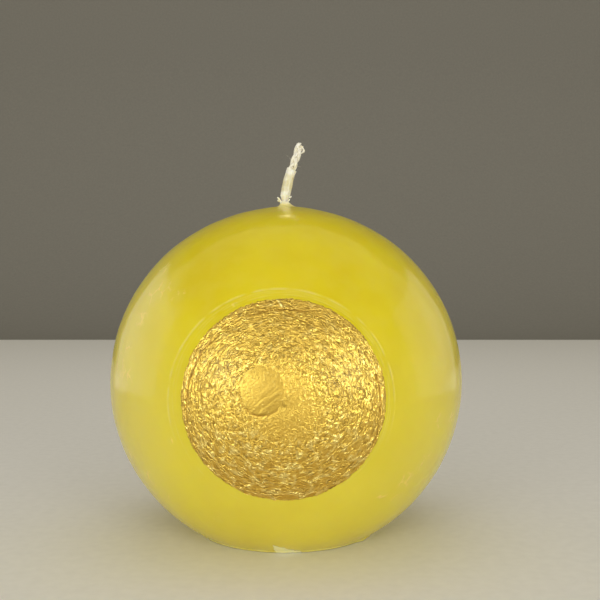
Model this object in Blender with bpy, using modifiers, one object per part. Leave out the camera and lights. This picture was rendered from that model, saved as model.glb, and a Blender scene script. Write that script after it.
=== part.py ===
"""Ball candle with a gold disc on its front, standing on a flat base.

A pale wax ball is cast, drilled for its wick, dipped in yellow wax and flattened at the
bottom. The wick is a plait of three cotton strands, crimped in a steel tab
that a wax plug seals into the base. Where the wick leaves the ball a bead of wax holds it, and
its lower half is still primed with wax. A cap of gold paint fills a shallow seat in the front
of the coat, with a smooth oval dab of the same paint laid into it.

The base is at Z = 0 with its middle at the origin, +Z is up and the gold disc faces -Y.
"""

import math

import bpy
from mathutils import Vector

MM = 0.001

# The ball and its flat base. The ball is a touch lower than it is wide.
BALL_RADIUS = 50 * MM
SQUASH = 0.988
CENTRE_HEIGHT = 43 * MM
COAT_WALL = 2.4 * MM
GAP = 0.3 * MM
COAT_INSIDE = BALL_RADIUS - COAT_WALL
CORE_RADIUS = COAT_INSIDE - GAP
BALL_TOP = CENTRE_HEIGHT + SQUASH * BALL_RADIUS

# The gold disc is a cap of the ball, given by the half angle that it spans at the centre
GOLD_HALF_ANGLE = math.radians(29.4)
GOLD_PROUD = 0.1 * MM
GOLD_OUTSIDE = BALL_RADIUS + GOLD_PROUD
GOLD_WALL = 0.9 * MM
GOLD_INSIDE = GOLD_OUTSIDE - GOLD_WALL
SEAT_FLOOR = GOLD_INSIDE - GAP
SEAT_HALF_ANGLE = GOLD_HALF_ANGLE + GAP / BALL_RADIUS

# The smooth dab sits left of the disc's middle and a little above it
DAB_HALF_ANGLE = math.radians(6.8)
DAB_NARROWING = 0.88
DAB_LEFT = math.radians(5.6)
DAB_UP = math.radians(3.4)
DAB_PROUD = 0.15 * MM
DAB_OUTSIDE = GOLD_OUTSIDE + DAB_PROUD
DAB_WALL = 0.4 * MM
DAB_INSIDE = DAB_OUTSIDE - DAB_WALL
DAB_SEAT_FLOOR = DAB_INSIDE - GAP
DAB_SEAT_HALF_ANGLE = DAB_HALF_ANGLE + GAP / BALL_RADIUS

# The wick: a three-strand plait, straight in the ball and leaning to +X above it
STRAND_RADIUS = 0.4 * MM
PLAIT_HALF_WIDTH = 0.79 * MM
PLAIT_HALF_DEPTH = 0.615 * MM
PLAIT_PITCH = 9 * MM
POINTS_PER_PITCH = 12
STRANDS = 3
WICK_STUB = 18.5 * MM
WICK_LEAN = 4.1 * MM
LEAN_START = 4 * MM
LEAN_SPAN = 17 * MM
WICK_FOOT = 3.4 * MM
WICK_TOP = BALL_TOP + WICK_STUB

# The channel that the wick runs in, and the seat for the tab and its plug
CHANNEL_RADIUS = 1.6 * MM
NECK_SEAT_RADIUS = 2.5 * MM
NECK_SEAT_TOP = 7.3 * MM
TAB_SEAT_RADIUS = 10 * MM
TAB_SEAT_DEPTH = 3 * MM

# The wick tab
TAB_RADIUS = 9.7 * MM
TAB_THICKNESS = 0.3 * MM
TAB_UNDERSIDE = 2.4 * MM
NECK_OUTSIDE = 2.2 * MM
NECK_INSIDE = 1.7 * MM
NECK_TOP = 7 * MM

# The wax plug under the tab
PLUG_RADIUS = TAB_SEAT_RADIUS - GAP
PLUG_TOP = TAB_UNDERSIDE - GAP

# The wax bead that holds the wick where it leaves the ball
BEAD_HOLE_RADIUS = 1.55 * MM
BEAD_STEM_RADIUS = 2.2 * MM
COAT_HOLE_RADIUS = BEAD_STEM_RADIUS + GAP
BEAD_FOOT_RADIUS = 3.3 * MM
BEAD_SKIRT_RADIUS = 2.65 * MM
BEAD_WAIST_RADIUS = 2.2 * MM
BEAD_CROWN_RADIUS = 1.8 * MM
BEAD_HEIGHT = 1.9 * MM

# The primed stretch of the wick
SLEEVE_START = BEAD_HEIGHT + GAP
SLEEVE_END = 11.3 * MM
SLEEVE_RADIUS = 1.45 * MM
SLEEVE_WALL = 0.26 * MM
SLEEVE_POINTS = 10

# How finely round shapes are drawn
TURN_STEPS = 48
ARC_STEP = math.radians(7.5)
SMALL_TURN_STEPS = 24
MERGE = 0.00001
CUTTER_REACH = 2 * MM

PALE_WAX = ("pale_wax", (0.84, 0.76, 0.42), 0.45, 0.0)
YELLOW_WAX = ("yellow_wax", (0.66, 0.51, 0.022), 0.25, 0.0)
GOLD_PAINT = ("gold_paint", (0.72, 0.45, 0.09), 0.38, 1.0)
WICK_COTTON = ("wick_cotton", (0.86, 0.81, 0.62), 0.9, 0.0)
PRIMING_WAX = ("priming_wax", (0.87, 0.83, 0.62), 0.35, 0.0)
TIN_PLATE = ("tin_plate", (0.62, 0.63, 0.65), 0.3, 1.0)


def clear_scene():
    for obj in list(bpy.data.objects):
        bpy.data.objects.remove(obj)


def make_collection(name):
    collection = bpy.data.collections.new(name)
    bpy.context.scene.collection.children.link(collection)
    return collection


def material_of(finish):
    name, colour, roughness, metallic = finish
    material = bpy.data.materials.get(name)
    if material is None:
        material = bpy.data.materials.new(name)
        material.use_nodes = True
        shader = material.node_tree.nodes["Principled BSDF"]
        shader.inputs["Base Color"].default_value = (*colour, 1.0)
        shader.inputs["Roughness"].default_value = roughness
        shader.inputs["Metallic"].default_value = metallic
    return material


def add_object(name, data, finish, collection):
    obj = bpy.data.objects.new(name, data)
    collection.objects.link(obj)
    if finish:
        data.materials.append(material_of(finish))
    return obj


def arc(radius, start, end, height=0.0, squash=1.0):
    """Points (r, z) of an arc about the axis point at this height. Angles are from +Z."""
    count = max(2, math.ceil(abs(end - start) / ARC_STEP))
    angles = [start + (end - start) * i / count for i in range(count + 1)]
    return [(radius * math.sin(a), height + squash * radius * math.cos(a)) for a in angles]


def ball_arc(radius, start, end):
    """An arc of the squashed ball, at its place above the base."""
    return arc(radius, start, end, CENTRE_HEIGHT, SQUASH)


def turned(name, profile, finish, collection, closed=True, steps=TURN_STEPS):
    """A profile of (r, z) points turned about Z. Its outer side comes first, top to bottom."""
    points = [(r, 0.0, z) for r, z in profile]
    edges = [(i, i + 1) for i in range(len(points) - 1)]
    if closed:
        edges.append((len(points) - 1, 0))
    mesh = bpy.data.meshes.new(name)
    mesh.from_pydata(points, edges, [])
    obj = add_object(name, mesh, finish, collection)
    screw = obj.modifiers.new("Turn", "SCREW")
    screw.steps = steps
    screw.render_steps = steps
    screw.use_merge_vertices = True
    screw.merge_threshold = MERGE
    return obj


def cap_shell(name, outside, inside, half_angle, finish, collection):
    """A round cap of a spherical shell about +Z, closed along its edge."""
    profile = arc(outside, 0.0, half_angle) + arc(inside, half_angle, 0.0)
    return turned(name, profile, finish, collection, closed=False)


def as_cutter(obj):
    obj.hide_render = True
    obj.display_type = "WIRE"
    return obj


def cut(obj, cutter):
    boolean = obj.modifiers.new("Cut", "BOOLEAN")
    boolean.operation = "DIFFERENCE"
    boolean.object = cutter


def face_front(obj, left=0.0, up=0.0):
    """Moves a cap made about +Z to the ball's centre and turns it to -Y, then left and up."""
    obj.location = (0.0, 0.0, CENTRE_HEIGHT)
    obj.rotation_euler = (math.pi / 2 - up, 0.0, -left)
    obj.scale.y = SQUASH
    return obj


def angle_at_height(radius, height):
    """The angle from +Z at which a ball of this radius crosses this height."""
    return math.acos((height - CENTRE_HEIGHT) / (SQUASH * radius))


def angle_at_radius(radius, distance):
    """The angle from +Z at which a ball of this radius is this far from the axis."""
    return math.asin(distance / radius)


def make_core(collection):
    """The cast ball, with the wick's channel and the stepped seat in its base."""
    start = angle_at_radius(CORE_RADIUS, CHANNEL_RADIUS)
    end = angle_at_height(CORE_RADIUS, 0.0)
    profile = ball_arc(CORE_RADIUS, start, end)
    profile += [
        (TAB_SEAT_RADIUS, 0.0),
        (TAB_SEAT_RADIUS, TAB_SEAT_DEPTH),
        (NECK_SEAT_RADIUS, TAB_SEAT_DEPTH),
        (NECK_SEAT_RADIUS, NECK_SEAT_TOP),
        (CHANNEL_RADIUS, NECK_SEAT_TOP),
    ]
    return turned("wax_core", profile, PALE_WAX, collection)


def make_coat(collection, cutters):
    """The dipped shell, open at the flat base and at the wick, with a seat for the gold."""
    outer = ball_arc(
        BALL_RADIUS,
        angle_at_radius(BALL_RADIUS, COAT_HOLE_RADIUS),
        angle_at_height(BALL_RADIUS, 0.0),
    )
    inner = ball_arc(
        COAT_INSIDE,
        angle_at_height(COAT_INSIDE, 0.0),
        angle_at_radius(COAT_INSIDE, COAT_HOLE_RADIUS),
    )
    coat = turned("colour_coat", outer + inner, YELLOW_WAX, collection)
    reach = BALL_RADIUS + CUTTER_REACH
    seat = cap_shell("gold_seat", reach, SEAT_FLOOR, SEAT_HALF_ANGLE, None, cutters)
    cut(coat, as_cutter(face_front(seat)))
    return coat


def make_gold(collection, cutters):
    """The gold disc, with a shallow seat for the dab."""
    gold = cap_shell(
        "gold_disc", GOLD_OUTSIDE, GOLD_INSIDE, GOLD_HALF_ANGLE, GOLD_PAINT, collection
    )
    face_front(gold)
    reach = BALL_RADIUS + CUTTER_REACH
    seat = cap_shell("dab_seat", reach, DAB_SEAT_FLOOR, DAB_SEAT_HALF_ANGLE, None, cutters)
    seat.scale.x = DAB_NARROWING
    cut(gold, as_cutter(face_front(seat, DAB_LEFT, DAB_UP)))
    return gold


def make_dab(collection):
    """The smooth dab of gold, oval because it is narrower than it is tall."""
    dab = cap_shell(
        "gold_dab", DAB_OUTSIDE, DAB_INSIDE, DAB_HALF_ANGLE, GOLD_PAINT, collection
    )
    dab.scale.x = DAB_NARROWING
    return face_front(dab, DAB_LEFT, DAB_UP)


def wick_middle(height):
    """The wick's centreline at this height: upright in the ball, then a curve towards +X."""
    share = max(0.0, height - BALL_TOP - LEAN_START) / LEAN_SPAN
    lean = WICK_LEAN * share * share * (3 - 2 * share)
    return Vector((lean, 0.0, height))


def wick_side(height):
    """The direction across the wick, in the plane that it leans in."""
    step = 0.1 * MM
    along = wick_middle(height + step) - wick_middle(height - step)
    return Vector((along.z, 0.0, -along.x)).normalized()


def strand_points(number):
    """The route of one strand of the plait, from the tab to the wick's tip."""
    length = WICK_TOP - WICK_FOOT
    count = math.ceil(length / PLAIT_PITCH * POINTS_PER_PITCH)
    points = []
    for i in range(count + 1):
        height = WICK_FOOT + length * i / count
        turn = 2 * math.pi * (height / PLAIT_PITCH + number / STRANDS)
        across = PLAIT_HALF_WIDTH * math.sin(turn)
        deep = PLAIT_HALF_DEPTH * math.sin(2 * turn)
        side = wick_side(height) * across
        points.append(wick_middle(height) + side + Vector((0.0, deep, 0.0)))
    return points


def tube_curve(name, points, radius, resolution, capped):
    """A curve with a round section along these points."""
    curve = bpy.data.curves.new(name, "CURVE")
    curve.dimensions = "3D"
    curve.bevel_depth = radius
    curve.bevel_resolution = resolution
    curve.use_fill_caps = capped
    spline = curve.splines.new("POLY")
    spline.points.add(len(points) - 1)
    for point, place in zip(spline.points, points):
        point.co = (*place, 1.0)
    return curve


def make_strands(collection):
    for number in range(STRANDS):
        name = f"wick_strand_{number + 1}"
        curve = tube_curve(name, strand_points(number), STRAND_RADIUS, 1, True)
        add_object(name, curve, WICK_COTTON, collection)


def make_sleeve(collection, cutters):
    """The priming wax left on the lower part of the bare wick: a thin bent tube."""
    span = SLEEVE_END - SLEEVE_START
    heights = [
        BALL_TOP + SLEEVE_START + span * i / (SLEEVE_POINTS - 1) for i in range(SLEEVE_POINTS)
    ]
    route = [wick_middle(height) for height in heights]
    curve = tube_curve("sleeve_route", route, SLEEVE_RADIUS, 6, False)
    guide = add_object("sleeve_route", curve, None, cutters)
    evaluated = guide.evaluated_get(bpy.context.evaluated_depsgraph_get())
    mesh = bpy.data.meshes.new_from_object(evaluated)
    bpy.data.objects.remove(guide)
    sleeve = add_object("wick_priming_wax", mesh, PRIMING_WAX, collection)
    wall = sleeve.modifiers.new("Wall", "SOLIDIFY")
    wall.thickness = SLEEVE_WALL
    wall.offset = 0.0
    return sleeve


def make_bead(collection):
    """The bead round the wick's foot: a stem in the coat's hole under a flared crown."""
    stem_foot = CENTRE_HEIGHT + SQUASH * CORE_RADIUS + GAP
    brim = BALL_TOP + GAP / 2
    profile = [
        (BEAD_HOLE_RADIUS, BALL_TOP + BEAD_HEIGHT),
        (BEAD_CROWN_RADIUS, BALL_TOP + BEAD_HEIGHT),
        (BEAD_WAIST_RADIUS, BALL_TOP + 0.55 * BEAD_HEIGHT),
        (BEAD_SKIRT_RADIUS, BALL_TOP + 0.25 * BEAD_HEIGHT),
        (BEAD_FOOT_RADIUS, brim),
        (BEAD_STEM_RADIUS, brim),
        (BEAD_STEM_RADIUS, stem_foot),
        (BEAD_HOLE_RADIUS, stem_foot),
    ]
    return turned("wick_bead", profile, PRIMING_WAX, collection, steps=SMALL_TURN_STEPS)


def make_tab(collection):
    """The steel wick tab: a thin disc with a crimped neck."""
    disc_top = TAB_UNDERSIDE + TAB_THICKNESS
    profile = [
        (NECK_INSIDE, NECK_TOP),
        (NECK_OUTSIDE, NECK_TOP),
        (NECK_OUTSIDE, disc_top),
        (TAB_RADIUS, disc_top),
        (TAB_RADIUS, TAB_UNDERSIDE),
        (NECK_INSIDE, TAB_UNDERSIDE),
    ]
    return turned("wick_tab", profile, TIN_PLATE, collection, steps=SMALL_TURN_STEPS)


def make_plug(collection):
    """The wax poured in over the tab, level with the base."""
    profile = [(0.0, PLUG_TOP), (PLUG_RADIUS, PLUG_TOP), (PLUG_RADIUS, 0.0), (0.0, 0.0)]
    return turned(
        "base_plug", profile, PALE_WAX, collection, closed=False, steps=SMALL_TURN_STEPS
    )


def main():
    clear_scene()
    candle = make_collection("ball_candle")
    cutters = make_collection("cutters")
    make_core(candle)
    make_coat(candle, cutters)
    make_gold(candle, cutters)
    make_dab(candle)
    make_tab(candle)
    make_plug(candle)
    make_strands(candle)
    make_bead(candle)
    make_sleeve(candle, cutters)


main()
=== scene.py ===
import math

import bmesh
import bpy
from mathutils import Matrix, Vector, noise


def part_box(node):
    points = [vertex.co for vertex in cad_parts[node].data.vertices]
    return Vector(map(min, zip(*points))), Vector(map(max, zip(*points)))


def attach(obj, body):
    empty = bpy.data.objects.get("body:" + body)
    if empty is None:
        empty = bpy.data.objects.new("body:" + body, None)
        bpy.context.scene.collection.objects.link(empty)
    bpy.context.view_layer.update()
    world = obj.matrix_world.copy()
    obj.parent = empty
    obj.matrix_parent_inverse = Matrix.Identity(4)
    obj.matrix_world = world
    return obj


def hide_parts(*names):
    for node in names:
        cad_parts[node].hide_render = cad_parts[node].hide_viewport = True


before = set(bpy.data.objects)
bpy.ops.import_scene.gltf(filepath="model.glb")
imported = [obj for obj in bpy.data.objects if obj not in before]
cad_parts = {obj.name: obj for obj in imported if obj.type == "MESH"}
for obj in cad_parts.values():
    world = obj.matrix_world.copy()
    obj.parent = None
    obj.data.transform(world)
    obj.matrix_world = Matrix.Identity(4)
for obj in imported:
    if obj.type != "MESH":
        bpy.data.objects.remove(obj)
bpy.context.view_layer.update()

# Looks for a ball candle: a ball of pale wax dipped in dyed yellow wax, with a round disc of
# gold paint stippled on its front, an oval dab of smoother gold, and a plaited cotton wick
# with some of its priming wax still on it.

MM = 0.001

# ---- Sizes and places ----

COAT_LOW, COAT_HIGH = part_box("colour_coat")
DISC_LOW, DISC_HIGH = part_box("gold_disc")
STRAND_NAMES = ["wick_strand_1", "wick_strand_2", "wick_strand_3"]

BALL_RADIUS = (COAT_HIGH.x - COAT_LOW.x) / 2
CENTRE = Vector((0.0, 0.0, (DISC_LOW.z + DISC_HIGH.z) / 2))
SQUASH = 0.988                      # the ball is this much lower than it is wide
BALL_TOP = CENTRE.z + SQUASH * BALL_RADIUS
MM_PER_DEGREE = BALL_RADIUS / MM * math.radians(1)

COAT_WALL = 2.4 * MM
GOLD_ANGLE = math.radians(29.4)     # half angle that the gold disc spans at the ball's centre
GOLD_LAP = 0.45 * MM                # the paint laps this far over the edge of its seat
SEAT_ANGLE = GOLD_ANGLE - GOLD_LAP / BALL_RADIUS
SEAT_FLOOR = 48.9 * MM
GOLD_BACK = 49.2 * MM
GOLD_LEVEL = 0.06                   # mm that the paint stands over the wax

DAB_LEFT, DAB_UP = -5.65, 3.4       # middle of the dab, in degrees from the disc's middle
DAB_HALF_WIDE, DAB_HALF_HIGH = 6.0, 6.8

WICK_LOW = min(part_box(name)[0].z for name in STRAND_NAMES)
WICK_TOP = max(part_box(name)[1].z for name in STRAND_NAMES)
WICK_LEAN = 4.1 * MM
LEAN_START = 4 * MM
LEAN_SPAN = 17 * MM
PLAIT_HALF_WIDTH = 0.68 * MM
PLAIT_HALF_DEPTH = 0.615 * MM
PLAIT_PITCH = 9 * MM


# ---- Small tools ----

def deselect():
    """Leaves edit mode and selects nothing."""
    if bpy.context.object and bpy.context.object.mode != "OBJECT":
        bpy.ops.object.mode_set(mode="OBJECT")
    bpy.ops.object.select_all(action="DESELECT")


def added(name):
    """Names the object just added, puts its place into its mesh, and returns it."""
    piece = bpy.context.object
    piece.name = piece.data.name = name
    bpy.ops.object.transform_apply(location=True, rotation=True, scale=True)
    return piece


def activate(piece):
    deselect()
    piece.select_set(True)
    bpy.context.view_layer.objects.active = piece


def edit(piece):
    activate(piece)
    bpy.ops.object.mode_set(mode="EDIT")


def leave():
    bpy.ops.object.mode_set(mode="OBJECT")


def pick(piece, kind, test):
    """Selects, in edit mode, only the vertices, edges or faces that pass the test."""
    bpy.ops.mesh.select_mode(type={"verts": "VERT", "edges": "EDGE", "faces": "FACE"}[kind])
    bpy.ops.mesh.select_all(action="DESELECT")
    mesh = bmesh.from_edit_mesh(piece.data)
    for part in getattr(mesh, kind):
        if test(part):
            part.select_set(True)
    mesh.select_flush(True)
    bmesh.update_edit_mesh(piece.data)


def extrude(offset=(0.0, 0.0, 0.0)):
    bpy.ops.mesh.extrude_region_move(TRANSFORM_OT_translate={"value": offset})


def apply_modifier(piece, kind, **settings):
    activate(piece)
    modifier = piece.modifiers.new(kind.title(), kind)
    for name, value in settings.items():
        setattr(modifier, name, value)
    bpy.ops.object.modifier_apply(modifier=modifier.name)


def cut(piece, tool, operation, keep_tool=False):
    apply_modifier(piece, "BOOLEAN", operation=operation, solver="EXACT", object=tool)
    if not keep_tool:
        bpy.data.objects.remove(tool)


def close_up(piece, distance=0.001 * MM, outwards=True):
    """Merges doubles, then turns every face outwards."""
    edit(piece)
    bpy.ops.mesh.select_all(action="SELECT")
    bpy.ops.mesh.remove_doubles(threshold=distance)
    if outwards:
        bpy.ops.mesh.normals_make_consistent(inside=False)
    leave()


def smooth(piece, degrees=60):
    activate(piece)
    bpy.ops.object.shade_smooth_by_angle(angle=math.radians(degrees))


def paint(piece, name, value_at):
    """Stores a number for each vertex, for the material to read."""
    mesh = piece.data
    attribute = mesh.attributes.get(name) or mesh.attributes.new(name, "FLOAT", "POINT")
    attribute.data.foreach_set("value", [value_at(v.co) for v in mesh.vertices])


def clamp(value, low=0.0, high=1.0):
    return max(low, min(high, value))


def ease(value, low, high):
    """0 below low, 1 above high, and a smooth change between them."""
    share = clamp((value - low) / (high - low))
    return share * share * (3 - 2 * share)


def bump_at(distance, width):
    """A soft bump, 1 in the middle and 0 beyond about twice the width."""
    return math.exp(-(distance / width) ** 2)


# ---- Places on the ball ----

def on_ball(angle, turn, radius):
    """A point this far from the ball's centre: angle from the front, turn from +X to +Z."""
    out = math.sin(angle)
    x = radius * out * math.cos(turn)
    z = radius * out * math.sin(turn) * SQUASH
    return CENTRE + Vector((x, -radius * math.cos(angle), z))


def ball_place(point):
    """The angle, turn and radius of a point: on_ball the other way round."""
    x, y, z = point - CENTRE
    z /= SQUASH
    radius = math.sqrt(x * x + y * y + z * z)
    return math.acos(clamp(-y / radius, -1, 1)), math.atan2(z, x), radius


def flat_place(point):
    """Degrees to the right and up from the disc's middle, measured over the ball."""
    angle, turn, _ = ball_place(point)
    return math.degrees(angle) * math.cos(turn), math.degrees(angle) * math.sin(turn)


# ---- The dyed coat ----

COAT_SEGMENTS = 336
SEAT_RINGS = 9
FINE_STEP, MEDIUM_STEP, COARSE_STEP = math.radians(0.24), math.radians(0.5), math.radians(0.95)
FINE_UNTIL, MEDIUM_UNTIL = math.radians(35.4), math.radians(41)

# Scored circles round the gold, from marking out and turning the brush: middle right and up,
# radius, depth in mm, half width, and the turn where the line is strongest, all in degrees
SCORED = [
    (-0.9, -0.7, 33.2, 0.075, 0.24, 100),
    (-0.4, -0.2, 32.0, 0.030, 0.16, 150),
    (-0.2, 0.1, 31.2, 0.030, 0.16, 75),
    (0.0, 0.2, 30.4, 0.035, 0.16, 30),
]


def ring_angles():
    """The angles of the coat's rings, close together beside the gold."""
    angles = [SEAT_ANGLE * i / SEAT_RINGS for i in range(1, SEAT_RINGS)]
    angles += [SEAT_ANGLE * 0.9995, SEAT_ANGLE]
    angle = SEAT_ANGLE
    while angle < math.pi - 1.6 * COARSE_STEP:
        if angle < FINE_UNTIL:
            angle += FINE_STEP
        elif angle < MEDIUM_UNTIL:
            angle += MEDIUM_STEP
        else:
            angle += COARSE_STEP
        angles.append(angle)
    return angles


def scored_lines(u, v):
    """Depth in mm of the scored circles here, and how frosted the wax is in them."""
    depth_here = frosted = 0.0
    for right, up, radius, depth, width, strongest in SCORED:
        away = math.hypot(u - right, v - up) - radius
        if abs(away) > 4 * width:
            continue
        here = math.degrees(math.atan2(v - up, u - right))
        apart = abs((here - strongest + 180) % 360 - 180)
        broken = noise.noise(Vector((u / 4, v / 4, radius)))
        strength = (1 - ease(apart, 75, 130)) * clamp(0.7 + 1.8 * broken)
        depth_here += depth * strength * bump_at(away, width)
        depth_here -= 0.4 * depth * strength * bump_at(away - 2 * width, width)
        frosted = max(frosted, strength * depth / 0.075 * bump_at(away, 1.3 * width))
    return depth_here, frosted


def coat_relief(angle, turn):
    """Height of the dipped wax over a true ball, in mm."""
    direction = Vector((math.sin(angle) * math.cos(turn), -math.cos(angle),
                        math.sin(angle) * math.sin(turn)))
    place = direction * BALL_RADIUS / MM
    degrees = math.degrees(angle)
    calm = ease(degrees, 30, 37)
    height = 0.10 * noise.noise(place / 15) + 0.05 * noise.noise(place / 6.5)
    height *= 0.15 + 0.85 * calm
    height += 0.012 * noise.noise(place / 2.1) * calm
    if degrees < 36:
        height -= scored_lines(degrees * math.cos(turn), degrees * math.sin(turn))[0]
    return height


def wick_mound(point):
    """The wax rises a little round the wick, where each dip ran together, in mm."""
    away = math.hypot(point.x, point.y) / (12 * MM)
    if away > 1 or point.z < CENTRE.z:
        return 0.0
    return 0.36 * (1 - away * away) ** 2


def make_coat():
    angles = ring_angles()
    count = len(angles) + 1
    deselect()
    bpy.ops.mesh.primitive_uv_sphere_add(
        segments=COAT_SEGMENTS, ring_count=count, radius=BALL_RADIUS, location=CENTRE,
        rotation=(math.radians(90), 0, 0))
    coat = added("dipped_coat")
    for vertex in coat.data.vertices:
        place = vertex.co - CENTRE
        ring = round(math.acos(clamp(-place.y / BALL_RADIUS, -1, 1)) / math.pi * count)
        turn = math.atan2(place.z, place.x)
        if ring <= SEAT_RINGS:
            angle = 0.0 if ring == 0 else angles[ring - 1]
            vertex.co = on_ball(angle, turn, SEAT_FLOOR)
            continue
        angle = math.pi if ring == count else angles[ring - 1]
        height = coat_relief(angle, turn) * MM
        vertex.co = on_ball(angle, turn, BALL_RADIUS + height)
        vertex.co.z += wick_mound(vertex.co) * MM
    cut_base(coat)
    add_inside(coat)
    drill(coat)
    smooth(coat, 50)
    return coat


# The base's edge: height over the base and the share of the cut's radius, from the cut inwards
CUT_HEIGHT = 0.75 * MM
BASE_EDGE = [(0.42, 0.993), (0.17, 0.978), (0.03, 0.957), (0.0, 0.93)]


def cut_base(coat):
    """Cuts the ball off flat and rounds the edge that it stands on."""
    edit(coat)
    bpy.ops.mesh.select_all(action="SELECT")
    bpy.ops.mesh.bisect(plane_co=(0, 0, CUT_HEIGHT), plane_no=(0, 0, 1), clear_inner=True,
                        threshold=1e-6)
    pick(coat, "edges", lambda e: e.is_boundary)
    height, size = CUT_HEIGHT, 1.0
    for next_height, next_size in BASE_EDGE:
        extrude((0, 0, next_height * MM - height))
        scale = next_size / size
        bpy.ops.transform.resize(value=(scale, scale, 1), center_override=(0, 0, 0))
        height, size = next_height * MM, next_size
    leave()
    for vertex in coat.data.vertices:
        if vertex.co.z < 1.6 * MM:
            facing = math.degrees(math.atan2(vertex.co.x, -vertex.co.y))
            proud = 0.7 * bump_at(facing - 55, 4.5) + 0.12 * noise.noise(vertex.co / MM / 3.5)
            proud *= 1 - ease(vertex.co.z, 1.1 * MM, 1.6 * MM)
            vertex.co.xy += vertex.co.xy.normalized() * proud * MM


def add_inside(coat):
    """The coat's inner face, and the flat ring at the base that joins it to the outside."""
    inner_radius = BALL_RADIUS - COAT_WALL
    deselect()
    bpy.ops.mesh.primitive_uv_sphere_add(
        segments=96, ring_count=48, radius=inner_radius, location=CENTRE)
    inside = added("inside")
    for vertex in inside.data.vertices:
        vertex.co.z = CENTRE.z + (vertex.co.z - CENTRE.z) * SQUASH
    edit(inside)
    bpy.ops.mesh.select_all(action="SELECT")
    bpy.ops.mesh.bisect(plane_co=(0, 0, 0), plane_no=(0, 0, 1), clear_inner=True,
                        threshold=1e-6)
    bpy.ops.mesh.select_all(action="SELECT")
    bpy.ops.mesh.flip_normals()
    leave()
    deselect()
    inside.select_set(True)
    coat.select_set(True)
    bpy.context.view_layer.objects.active = coat
    bpy.ops.object.join()
    edit(coat)
    pick(coat, "edges", lambda e: e.is_boundary)
    bpy.ops.mesh.bridge_edge_loops()
    leave()


def drill(coat):
    """The hole for the wick, under the bead."""
    deselect()
    bpy.ops.mesh.primitive_cylinder_add(
        vertices=64, radius=2.5 * MM, depth=12 * MM, location=(0, 0, BALL_TOP))
    cut(coat, added("drill"), "DIFFERENCE")


# ---- The gold ----

GOLD_GRID = 236
BACK_RINGS = 5


def rim_angle(turn):
    """The ragged edge of the gold paint."""
    round_way = Vector((math.cos(turn), math.sin(turn), 0.4))
    ragged = 0.24 * noise.noise(round_way * 7) + 0.12 * noise.noise(round_way * 17)
    ragged += 0.16 * noise.noise(round_way * 38) + 0.26 * noise.noise(round_way * 71)
    return GOLD_ANGLE + ragged * MM / BALL_RADIUS


def dab_edge(turn):
    """How far the dab's edge is from its middle in this direction, in degrees."""
    across, up = math.cos(turn) / DAB_HALF_WIDE, math.sin(turn) / DAB_HALF_HIGH
    ragged = 1 + 0.045 * noise.noise(Vector((math.cos(turn) * 1.6, math.sin(turn) * 1.6, 7.7)))
    ragged += 0.02 * noise.noise(Vector((math.cos(turn) * 5, math.sin(turn) * 5, 2.2)))
    return ragged / math.hypot(across, up)


def worm(place, width):
    """1 on a branching line and 0 away from it."""
    return clamp(1 - abs(noise.noise(place)) / width)


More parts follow.
